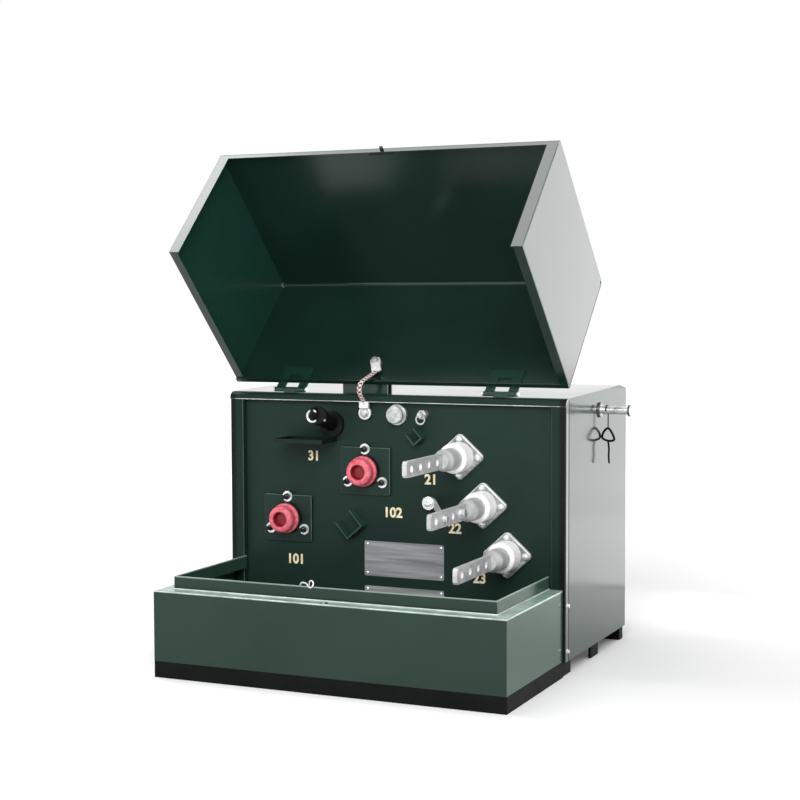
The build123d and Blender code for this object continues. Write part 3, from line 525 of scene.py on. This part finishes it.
# Electro-tinned copper: pale, satin, clouded by handling; the blades' holes are painted white as a painted
# highlight
hole_count, hole_pitch, hole_end, hole_radius, hole_rim = 4, 44.45, 25.0, 7.0, 0.3
row_end, half_pitch = (hole_count - 0.5) * hole_pitch * MM, hole_pitch / 2 * MM
for n in BUSHINGS:
    blade_tin = finish(f"tinned_copper_blade_{n}", "#a8a9a9", "#cbcccc", patch=22, grain=1.2, dull=0.5,
                       shine=0.36, relief=0.06, metallic=0.2)
    sockets(blade_tin)["Sheen Weight"].default_value = 0.15
    low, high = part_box(f"lv_spade_{n}")
    tree = blade_tin.node_tree
    place = add(tree, "ShaderNodeTexCoord").outputs["Object"]
    spot = add(tree, "ShaderNodeSeparateXYZ", {"Vector": place}).outputs
    # The walls of the holes and a thin rim round each are painted white: a painted highlight
    along_row = add(tree, "ShaderNodeMath", {0: spot["Y"], 1: low.y + hole_end * MM}, operation="SUBTRACT")
    from_hole = add(tree, "ShaderNodeMath", {0: along_row, 1: half_pitch, 2: -half_pitch}, operation="WRAP")
    above = add(tree, "ShaderNodeMath", {0: spot["Z"], 1: (low.z + high.z) / 2}, operation="SUBTRACT")
    offset = add(tree, "ShaderNodeCombineXYZ", {"X": from_hole, "Y": above})
    away = add(tree, "ShaderNodeVectorMath", {0: offset}, operation="LENGTH").outputs["Value"]
    in_hole = add(tree, "ShaderNodeMath", {0: away, 1: (hole_radius + hole_rim) * MM}, operation="LESS_THAN")
    in_row = add(tree, "ShaderNodeMath", {0: along_row, 1: row_end}, operation="LESS_THAN")
    cover(blade_tin, "#ffffff", add(tree, "ShaderNodeMath", {0: in_hole, 1: in_row}, operation="MULTIPLY"))
    dress(blade_tin, f"lv_spade_{n}")
# Zinc-plated bolts stand near the flange's corners, each at its own turn
flange_half, flange_bolt_sizes, corner_share = (59.0, 53.0), (7.0, 10.0, 5.0), 0.74
for n in BUSHINGS:
    low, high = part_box(f"lv_flange_{n}")
    middle = (low + high) / 2
    bolts = bmesh.new()
    for x_share, z_share in ((corner_share, 0), (-corner_share, 0), (0, corner_share), (0, -corner_share)):
        across, up = x_share * flange_half[0] * MM, z_share * flange_half[1] * MM
        foot = Vector((middle.x + across, low.y, middle.z + up))
        bolt_form(bolts, seat(foot, FRONT, x_share + z_share), flange_bolt_sizes)
    piece(f"lv_bolts_{n}", bolts, bright_zinc, "tank")


# Fuse: a black moulded holder that slopes up out of the wall over a folded drip tray. A zinc wire ring is
# sprung into its eye for a hook stick, and one screw locks its collar.
# Glass-filled phenolic: dead black and nearly matt
black_phenolic = finish("black_moulded_phenolic", "#050506", "#0b0b0c", patch=30, grain=2, dull=0.6,
                        shine=0.45, relief=0.05, level=0.2)
dress(black_phenolic, "fuse_holder")
# Thin enamel on folded sheet: nearly black green, darkened as painted shade
tray_enamel = finish("tray_dark_enamel", "#0a1814", "#0e1f1a", patch=60, grain=4, dull=0.42, shine=0.3,
                     relief=0.06, level=0.2)
dress(tray_enamel, "fuse_tray")
fuse_tilt, fuse_height = radians(18), 524.1
holder_low, holder_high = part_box("fuse_holder")
wall_y = holder_high.y
fuse_foot = Vector(((holder_low.x + holder_high.x) / 2, wall_y, fuse_height * MM))
along = Vector((0, -cos(fuse_tilt), sin(fuse_tilt)))
upward = Vector((0, sin(fuse_tilt), cos(fuse_tilt)))
ring_radius, ring_wire, ring_reach, ring_drop = 12.5, 2.7, 101.0, 7.0
ring_gap, ring_steps = 45, 30
ring_middle = fuse_foot + along * ring_reach * MM - upward * ring_drop * MM
ring_turns = [radians(ring_gap + i * (360 - 2 * ring_gap) / ring_steps) for i in range(ring_steps + 1)]
ring_line = [ring_middle + Vector((cos(a), 0, sin(a))) * ring_radius * MM for a in ring_turns]
pull_ring = bmesh.new()
sweep(pull_ring, ring_line, ring_wire)
piece("fuse_pull_ring", pull_ring, bright_zinc, "tank")
screw_reach, screw_turn, collar_radius, screw_sink = 76.0, radians(-28), 21.0, 0.4
screw_radius, screw_rim, screw_shoulder, screw_crown, shoulder_share = 3.4, 1.0, 2.2, 2.7, 0.75
dome_sides = 20
screw_out = Vector((cos(screw_turn), 0, 0)) + upward * sin(screw_turn)
screw_foot = fuse_foot + along * screw_reach * MM + screw_out * (collar_radius - screw_sink) * MM
screw_head = [
    (0, 0), (screw_radius, 0), (screw_radius, screw_rim), (shoulder_share * screw_radius, screw_shoulder),
    (0, screw_crown),
]
screw = bmesh.new()
turn_form(screw, screw_head, seat(screw_foot, screw_out), dome_sides)
piece("fuse_collar_screw", screw, bright_zinc, "tank")


# Fill plug and relief valve: turned brass, nickel plated, screwed into bosses at the wall's top.
# Satin nickel: warm grey, brushed by its turning
nickel_plate = finish("satin_nickel_plate", "#989c9a", "#cdd0ce", patch=10, grain=1.4, dull=0.42, shine=0.28,
                      relief=0.08, metallic=0.55)
dress(nickel_plate, "fill_cap", "relief_valve")


# Earthing lugs: two welded bosses on the wall and one in the hood take a bolt each. The hood's strap ends in
# crimped lugs on two of them, one with a round eye and a crimped barrel above it, the other a flat palm.
dress(nickel_plate, "earth_bosses", "hood_boss")


def plate_form(form, outline, place, low, high, edge=0.6):
    """Adds a flat plate between two reaches out of its place, chamfered round its face, in millimetres."""
    middle = sum((Vector(point) for point in outline), Vector((0, 0))) / len(outline)
    rings = []
    for inset, level in ((0, low), (0, high - edge), (edge, high)):
        ring = []
        for point in outline:
            inward = (middle - Vector(point)).normalized() * inset
            ring.append(form.verts.new(place @ (Vector((*(Vector(point) + inward), level)) * MM)))
        rings.append(ring)
    for below, above in zip(rings, rings[1:]):
        for i in range(len(outline)):
            j = (i + 1) % len(outline)
            form.faces.new([below[i], below[j], above[j], above[i]])
    form.faces.new(rings[0])
    form.faces.new(rings[-1])


def rounded(width, height, radius, middle=(0, 0), steps=4):
    """The outline of a rectangle with rounded corners."""
    points = []
    for quarter, (sx, sy) in enumerate(((1, 1), (-1, 1), (-1, -1), (1, -1))):
        for step in range(steps + 1):
            turn = pi / 2 * (quarter + step / steps)
            points.append((middle[0] + sx * (width / 2 - radius) + radius * cos(turn),
                           middle[1] + sy * (height / 2 - radius) + radius * sin(turn)))
    return points


# Fresh tin over copper: nearly white, with dull patches from the crimping tool
bright_tin = finish("bright_tin_plate", "#d2d3d3", "#f2f2f1", patch=8, grain=1.2, dull=0.46, shine=0.3,
                    relief=0.08, metallic=0.3)
bosses_low, bosses_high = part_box("earth_bosses")
boss_radius, boss_face = 13.0, bosses_low.y
bond_x, bond_z = bosses_low.x + boss_radius * MM, bosses_high.z - boss_radius * MM
eye_radius, eye_sheet, eye_edge, earth_bolt_sizes = 15.0, 2.5, 0.5, (11.0, 13.0, 6.0)
barrel_width, barrel_height, barrel_start, barrel_depth = 23.0, 18.0, 10.0, 8.5
barrel_corner, barrel_edge, crimp_lap = 3.0, 1.5, 0.2
on_eye = Matrix.Translation((0, 0, eye_sheet * MM))
lug_seat = seat(Vector((bond_x, boss_face, bond_z)), FRONT)
lug = bmesh.new()
disc_form(lug, lug_seat, eye_radius, eye_sheet, eye_edge)
barrel = rounded(barrel_width, barrel_height, barrel_corner, (0, barrel_start + barrel_height / 2))
plate_form(lug, barrel, lug_seat, crimp_lap, barrel_depth, barrel_edge)
piece("bond_tank_lug", lug, bright_tin, "tank")
lug_bolt = bmesh.new()
bolt_form(lug_bolt, lug_seat @ on_eye, earth_bolt_sizes)
piece("bond_tank_bolt", lug_bolt, nickel_plate, "tank")
# The palm in the hood is turned a little to the right
palm_turn, hood_boss_reach, hood_bolt_sizes = radians(24), 8.0, (9.0, 13.0, 6.0)
palm_width, palm_length, palm_corner, palm_back = 22.0, 45.0, 4.0, 10.0
crimp_start, crimp_length, crimp_depth, crimp_corner, crimp_edge = 15.0, 21.0, 7.0, 2.0, 1.2
hood_out = Vector((0, -sin(open_lean), cos(open_lean)))
hood_down = Vector((sin(palm_turn), -cos(open_lean) * cos(palm_turn), -sin(open_lean) * cos(palm_turn)))
hood_boss_low, hood_boss_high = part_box("hood_boss")
hood_boss_face = (hood_boss_low + hood_boss_high) / 2 + hood_out * hood_boss_reach / 2 * MM
palm_axes = Matrix((hood_down.cross(hood_out), hood_down, hood_out)).transposed().to_4x4()
palm_place = Matrix.Translation(hood_boss_face) @ palm_axes
palm = bmesh.new()
palm_outline = rounded(palm_width, palm_length, palm_corner, (0, palm_length / 2 - palm_back))
plate_form(palm, palm_outline, palm_place, 0, eye_sheet)
crimp = rounded(palm_width, crimp_length, crimp_corner, (0, crimp_start + crimp_length / 2))
plate_form(palm, crimp, palm_place, eye_sheet - crimp_lap, crimp_depth, crimp_edge)
piece("bond_hood_lug", palm, bright_tin, "hood")
palm_bolt = bmesh.new()
bolt_form(palm_bolt, palm_place @ on_eye, hood_bolt_sizes)
piece("bond_hood_bolt", palm_bolt, nickel_plate, "hood")


# Bond braid: 16 copper strands woven into a flat strap between the two lugs, which bends as the hood swings.
# Half the strands are bright with tin; the other half are painted dark copper-brown, as painted shade in the
# weave. They are drawn coarser than the real wires, so that the weave shows.
tinned_strand = finish("tinned_copper_strand", "#dcc6c1", "#f6ebe8", patch=4, grain=1.0, dull=0.46,
                       shine=0.32, relief=0.1, metallic=0.3)
shade_strand = finish("shaded_copper_strand", "#2e0d0c", "#5c2422", patch=4, grain=1.0, dull=0.5, shine=0.36,
                     relief=0.1, metallic=0.3)
braid_half, braid_pitch, braid_tuck, braid_steps, weave_share = (4.8, 2.1), 18.0, 2.0, 22, 0.22
strand_pairs, strand_group, strand_radius, strand_sides = 8, 4, 1.2, 6
# The route is in millimetres, with its first value across from the bond's middle
braid_route = [
    (0, -55.0, 572.0), (0, -58.0, 580.0), (-1, -69.0, 590.0), (-1, -77.0, 605.0), (1, -70.0, 621.0),
    (6, -48.0, 631.0),
]
braid_reach = (crimp_start + crimp_length - braid_tuck) * MM
braid_end = hood_boss_face + hood_down * braid_reach + hood_out * crimp_depth / 2 * MM
knots = [(bond_x / MM + x, y, z) for x, y, z in braid_route] + [tuple(braid_end / MM)]
spine = bend_through(knots, braid_steps)
travelled = [0.0]
for near, far in zip(spine, spine[1:]):
    travelled.append(travelled[-1] + (far - near).length / MM)
braid = bmesh.new()
sideways = Vector((1, 0, 0))
for strand in range(2 * strand_pairs):
    way = 1 if strand % 2 else -1
    start = 2 * pi * (strand // 2) / strand_pairs
    line = []
    for i, point in enumerate(spine):
        ahead = (spine[min(i + 1, len(spine) - 1)] - spine[max(i - 1, 0)]).normalized()
        outward = ahead.cross(sideways).normalized()
        turn = start + way * 2 * pi * travelled[i] / braid_pitch
        weave = 1 + weave_share * way * sin(strand_pairs * (start + turn) / 2)
        across, proud = braid_half[0] * cos(turn), braid_half[1] * sin(turn) * weave
        line.append(point + (sideways * across + outward * proud) * MM)
    before = len(braid.faces)
    sweep(braid, line, strand_radius, strand_sides)
    braid.faces.ensure_lookup_table()
    for face in braid.faces[before:]:
        face.material_index = strand // strand_group % 2
bond_braid = piece("bond_braid", braid, tinned_strand, None)
bond_braid.data.materials.append(shade_strand)
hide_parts("bond_strap")
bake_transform(bond_braid)


# Neutral strap: a flat tinned copper bar ties the middle bushing's blade to its boss on the wall. A round eye
# and a bolt hold it to the boss, and a bolt with a nut holds it to the blade.
# Electro-tinned copper, as on the blades
tinned_copper = finish("tinned_copper", "#a8a9a9", "#cbcccc", patch=22, grain=1.2, dull=0.5, shine=0.36,
                       relief=0.06, metallic=0.2)
dress(tinned_copper, "neutral_strap")
strap_sheet, blade_half = 3.0, 5.0
lap_bolt_sizes, cable_bolt_sizes = (9.0, 13.0, 4.5), (12.0, 19.0, 9.0)
neutral_x, neutral_z = bosses_high.x - boss_radius * MM, bosses_low.z + boss_radius * MM
neutral_seat = seat(Vector((neutral_x, boss_face - strap_sheet * MM, neutral_z)), FRONT)
blade_low, blade_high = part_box("lv_spade_2")
blade_middle = (blade_low.x + blade_high.x) / 2
# The strap laps the second hole from the blade's tip, and a longer bolt waits in the last for a cable lug
hole_places = [blade_low.y + (hole_end + i * hole_pitch) * MM for i in range(hole_count)]
lap_y, cable_y = hole_places[1], hole_places[-1]
neutral = bmesh.new()
disc_form(neutral, neutral_seat, eye_radius, eye_sheet, eye_edge)
bolt_form(neutral, neutral_seat @ on_eye, earth_bolt_sizes)
for side, stand_off in ((-1, strap_sheet), (1, 0)):
    lap_foot = Vector((blade_middle + side * (blade_half + stand_off) * MM, lap_y, neutral_z))
    bolt_form(neutral, seat(lap_foot, (side, 0, 0)), lap_bolt_sizes)
    cable_foot = Vector((blade_middle + side * blade_half * MM, cable_y, neutral_z))
    bolt_form(neutral, seat(cable_foot, (side, 0, 0)), cable_bolt_sizes)
piece("neutral_bolts", neutral, bright_zinc, "tank")


# Parking stands and plates: the stands are pockets of folded steel welded to the wall, the plates are bare
# aluminium with a rivet at each corner.
# Enamel on folded sheet: a shade paler than the wall's, and satin
stand_enamel = finish("green_stand_enamel", "#1d3a32", "#274840", patch=40, grain=4, dull=0.42, shine=0.3,
                      relief=0.06, level=0.4)
dress(stand_enamel, "parking_stands")
# Brushed aluminium: streaks along the plate, drawn a few millimetres apart so that they show
brushed_aluminium = finish("brushed_aluminium", "#808284", "#a6a8a9", patch=9, grain=2.4, dull=0.5,
                           shine=0.34, relief=0.03, metallic=0.3, stretch=(0.06, 1, 1))
dress(brushed_aluminium, "name_plate", "lower_plate")
rivet_inset, rivet_radius, rivet_rim, rivet_shoulder, rivet_crown = 7.0, 3.4, 0.9, 1.6, 1.9
rivet_shares = (0.9, 0.55)
rivet_head = [
    (0, 0), (rivet_radius, 0), (rivet_shares[0] * rivet_radius, rivet_rim),
    (rivet_shares[1] * rivet_radius, rivet_shoulder), (0, rivet_crown),
]
rivets = bmesh.new()
for name in ("name_plate", "lower_plate"):
    low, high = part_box(name)
    for x in (low.x + rivet_inset * MM, high.x - rivet_inset * MM):
        for z in (low.z + rivet_inset * MM, high.z - rivet_inset * MM):
            turn_form(rivets, rivet_head, seat(Vector((x, low.y, z)), FRONT), dome_sides)
piece("plate_rivets", rivets, bright_zinc, "tank")


# Terminal numbers: plain numerals brushed on the wall in cream enamel through a stencil.
# Cream enamel: warm, satin, thin at its edges
cream_enamel = finish("cream_stencil_enamel", "#e4cb90", "#f3ecd9", patch=16, grain=3, dull=0.6, shine=0.45,
                      relief=0.05, level=0.3)
numeral_size, numeral_raise, numeral_weight = 30.5, 0.15, 1.0
numeral_places = {
    "101": (-247.9, 211.0), "102": (-2.9, 329.7), "21": (89.4, 407.5), "22": (146.3, 302.1),
    "23": (204.0, 196.0), "31": (-199.7, 449.9),
}
upright = Matrix.Rotation(pi / 2, 4, "X")
for text, (x, z) in numeral_places.items():
    curve = bpy.data.curves.new(f"numeral_{text}", "FONT")
    curve.body = text
    curve.size = numeral_size * MM
    curve.extrude = numeral_raise * MM
    curve.offset = numeral_weight * MM
    curve.align_x = "CENTER"
    curve.align_y = "CENTER"
    curve.materials.append(cream_enamel)
    numeral = bpy.data.objects.new(f"numeral_{text}", curve)
    numeral.matrix_world = Matrix.Translation((x * MM, wall_y - numeral_raise * MM, z * MM)) @ upright
    scene.collection.objects.link(numeral)
    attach(numeral, "tank")


# Lifting pins: turned steel pins with a collar, welded to the tank's sides and zinc plated.
# The collars are painted a darker grey than the pins
pin_zinc = finish("dark_collar_zinc_plate", "#b9bdbf", "#eceeef", patch=14, grain=1.5, dull=0.36, shine=0.22,
                  relief=0.04, metallic=0.7)
pin_radius, collar_start, collar_full = 9.0, 1.0, 2.0
pin_low, pin_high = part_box("lift_pins")
pin_middle = Vector((0, pin_low.y + pin_high.y, pin_low.z + pin_high.z)) / 2
tree = pin_zinc.node_tree
place = add(tree, "ShaderNodeTexCoord").outputs["Object"]
from_middle = add(tree, "ShaderNodeVectorMath", {0: place, 1: pin_middle}, operation="SUBTRACT")
from_axis = add(tree, "ShaderNodeVectorMath", {0: from_middle, 1: (0, 1, 1)}, operation="MULTIPLY")
away = add(tree, "ShaderNodeVectorMath", {0: from_axis}, operation="LENGTH").outputs["Value"]
collar = add(tree, "ShaderNodeMapRange", {
    "Value": away, "From Min": (pin_radius + collar_start) * MM, "From Max": (pin_radius + collar_full) * MM,
})
cover(pin_zinc, "#6a6f70", collar)
dress(pin_zinc, "lift_pins")


# Wire hanger: a stiff wire hooked over the right pin, with a three-cornered loop and a tail below it.
# Vinyl-covered wire: black with a soft gloss
black_vinyl = finish("black_vinyl_wire", "#030304", "#08090a", patch=20, grain=3, dull=0.6, shine=0.46,
                     relief=0.05, level=0.1)
hook_wire, loop_wire, tail_wire = 1.3, 2.6, 2.2
hook_x, hanger_y, tail_bow = 422.6, 188.0, 1.0
shank_lean, shank_knee, shank_drop = 1.0, 14.0, 28.0
pin_y, pin_z = pin_middle.y / MM, pin_middle.z / MM
over_pin = pin_radius + hook_wire
hook_start, hook_stop, hook_step = 190, -30, -20
hook_turns = [radians(turn) for turn in range(hook_start, hook_stop + hook_step, hook_step)]
hook = [(hook_x, pin_y + over_pin * cos(turn), pin_z + over_pin * sin(turn)) for turn in hook_turns]
# The loop and the tail are routes in millimetres, given point by point
loop = [(x, hanger_y, z) for x, z in (
    (409.5, 492.7), (412.5, 506.0), (422.7, 514.6), (432.1, 503.6), (436.8, 489.2), (422.9, 486.5),
)]
loop_top, loop_foot = loop[2], loop[-1]
bow_y = hanger_y + tail_bow
tail = [loop_foot, (424.5, bow_y, 468.0), (424.0, bow_y, 452.0), (425.4, hanger_y, 435.8)]
shank = [
    (hook_x, pin_y + over_pin - shank_lean, pin_z - shank_knee), (loop_top[0], hanger_y, pin_z - shank_drop),
    loop_top,
]
hanger = bmesh.new()
sweep(hanger, bend_through(hook + shank), hook_wire)
sweep(hanger, bend_through(loop, closed=True), loop_wire, closed=True)
sweep(hanger, bend_through(tail), tail_wire)
piece("wire_hanger", hanger, black_vinyl, "tank")


# Studio floor and backdrop: white paper under the object that shades off to a white world.
# Paper: matt, and lifted to white beyond the reach of the lamps
def seen_directly(tree):
    """One where a surface is seen by the camera or in a reflection, and zero where it only lights others."""
    path = add(tree, "ShaderNodeLightPath").outputs
    shown = {0: path["Is Camera Ray"], 1: path["Is Glossy Ray"]}
    mirrored = add(tree, "ShaderNodeMath", shown, operation="MAXIMUM")
    return add(tree, "ShaderNodeMath", {0: mirrored, 1: path["Is Transmission Ray"]}, operation="MAXIMUM")


paper = bpy.data.materials.new("white_studio_paper")
paper.use_nodes = True
tree = paper.node_tree
tree.nodes.remove(tree.nodes["Principled BSDF"])
matt = add(tree, "ShaderNodeBsdfDiffuse", {"Color": linear("#f2f2f2")})
place = add(tree, "ShaderNodeTexCoord").outputs["Object"]
distance = add(tree, "ShaderNodeVectorMath", {0: place}, operation="LENGTH").outputs["Value"]
lift_start, lift_full = 1.2, 3.8
far = add(tree, "ShaderNodeMapRange", {
    "Value": distance, "From Min": lift_start, "From Max": lift_full, "To Min": 0.06, "To Max": 0.7,
})
lift = add(tree, "ShaderNodeMath", {0: seen_directly(tree), 1: far}, operation="MULTIPLY")
glow = add(tree, "ShaderNodeEmission", {"Color": linear("#ffffff"), "Strength": lift})
lifted = add(tree, "ShaderNodeAddShader", {0: matt, 1: glow})
tree.links.new(lifted.outputs[0], tree.nodes["Material Output"].inputs["Surface"])
floor_half = 30.0
floor_corners = [(floor_half * x, floor_half * y, 0) for x, y in ((-1, -1), (1, -1), (1, 1), (-1, 1))]
floor_mesh = bpy.data.meshes.new("studio_floor")
floor_mesh.from_pydata(floor_corners, [], [(0, 1, 2, 3)])
floor_mesh.materials.append(paper)
floor = bpy.data.objects.new("studio_floor", floor_mesh)
scene.collection.objects.link(floor)
world = bpy.data.worlds.new("studio_white")
scene.world = world
world.use_nodes = True
tree = world.node_tree
backdrop = tree.nodes["Background"].inputs
backdrop["Color"].default_value = linear("#ffffff")
strength = add(tree, "ShaderNodeMapRange", {"Value": seen_directly(tree), "To Min": 0.5, "To Max": 1.0})
tree.links.new(strength.outputs["Result"], backdrop["Strength"])


# Studio lamps: a broad softbox in front, two overhead, a dim one behind that lightens the roof, and two low
# ones beyond the tank's right side that its gloss mirrors. Each row has a lamp's place, what it is aimed at,
# its width and height, all in metres, and its radiance.
softboxes = {
    "front_softbox": ((1.3, -4.0, 2.6), (0, -0.1, 0.45), 3.0, 2.0, 10.0),
    "overhead_softbox": ((-0.55, -0.1, 2.9), (-0.55, -0.1, 0.0), 1.3, 0.9, 4.6),
    "left_overhead_softbox": ((-1.6, -0.1, 2.9), (-1.6, -0.1, 0.0), 0.8, 0.9, 8.6),
    "rear_softbox": ((-1.2, 3.7, 1.45), (0.2, 0.1, 0.61), 3.2, 1.8, 0.35),
    "right_softbox": ((1.35, 2.5, 1.075), (0.406, 0.1, 1.075), 1.5, 1.17, 2.1),
    "low_right_softbox": ((0.68, 1.0, 0.285), (0.5, 0.1, 0.285), 0.44, 0.55, 1.15),
}
for name, (place, target, width, height, radiance) in softboxes.items():
    lamp = bpy.data.lights.new(name, "AREA")
    lamp.shape = "RECTANGLE"
    lamp.size = width
    lamp.size_y = height
    lamp.energy = radiance * pi * width * height
    softbox = bpy.data.objects.new(name, lamp)
    softbox.location = place
    softbox.rotation_euler = (Vector(target) - Vector(place)).to_track_quat("-Z", "Y").to_euler()
    softbox.visible_camera = False
    scene.collection.objects.link(softbox)


# Camera: it stands to the right of the front, a little above the tank, and looks slightly down.
# Its place is in metres, its sensor and lens in millimetres.
camera_place, sensor_width, focal_length = (1.5009, -3.3325, 0.8094), 36.0, 73.575
view_yaw, view_dip, view_roll = radians(24.3), radians(3.6), radians(-0.2)
camera = bpy.data.objects.new("photo_camera", bpy.data.cameras.new("photo_camera"))
camera.data.sensor_width = sensor_width
camera.data.lens = focal_length
camera.matrix_world = (
    Matrix.Translation(camera_place)
    @ Matrix.Rotation(view_yaw, 4, "Z")
    @ Matrix.Rotation(pi / 2 - view_dip, 4, "X")
    @ Matrix.Rotation(view_roll, 4, "Z")
)
scene.collection.objects.link(camera)
scene.camera = camera
scene.view_settings.view_transform = "Standard"
